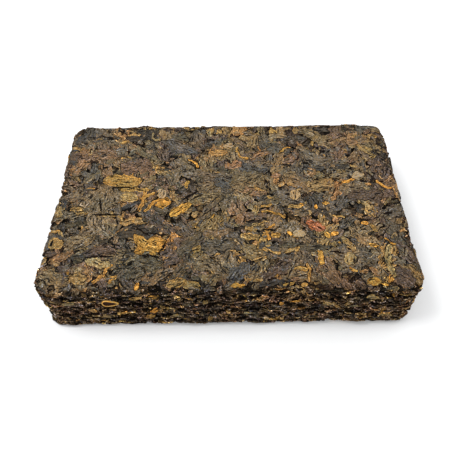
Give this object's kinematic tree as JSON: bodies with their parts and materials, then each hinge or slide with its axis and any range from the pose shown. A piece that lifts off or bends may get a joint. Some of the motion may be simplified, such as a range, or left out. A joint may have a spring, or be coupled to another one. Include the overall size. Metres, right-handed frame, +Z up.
{
  "type": "pu erh tea brick",
  "caption": "Rectangular block of tightly pressed dark tea leaves, with rounded corners, flaky layered sides and a flat underside to rest on.",
  "frame": {"origin": "middle of the flat underside", "axes": "+X along the length, +Y along the width, +Z up through the thickness"},
  "size_m": [0.14, 0.09, 0.025],
  "materials": {
    "pressed_tea": "matt, dry pressed leaf"
  },
  "bodies": {
    "root": {"tea_brick": "pressed_tea"}
  },
  "joints": []
}
